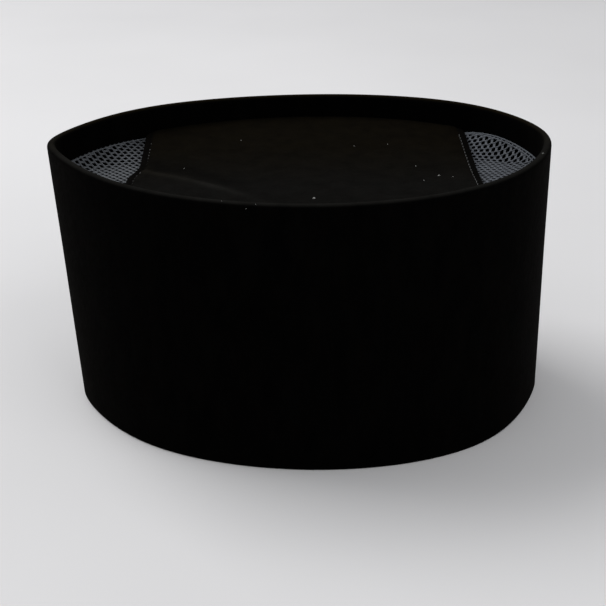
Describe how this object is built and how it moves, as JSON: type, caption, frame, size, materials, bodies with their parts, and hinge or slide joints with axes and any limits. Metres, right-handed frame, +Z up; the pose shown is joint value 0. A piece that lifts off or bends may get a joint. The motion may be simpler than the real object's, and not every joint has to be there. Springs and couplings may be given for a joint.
{
  "type": "songkok",
  "caption": "Oval velvet cap without a brim: a tall stiff side band whose rim stands proud of a flat velvet crown with a net vent at each end.",
  "frame": {"origin": "on the surface that the hat rests on, under the middle of its bounding box", "axes": "+X along the head, +Y across it, +Z up from the open end to the crown"},
  "size_m": [0.2173, 0.1528, 0.1195],
  "materials": {
    "velvet": "short dense black pile, matt",
    "net": "blue-grey knitted net, slightly shiny"
  },
  "bodies": {
    "root": {"wall": "velvet", "crown_panel": "velvet", "mesh_vent_left": "net", "mesh_vent_right": "net"}
  },
  "joints": []
}
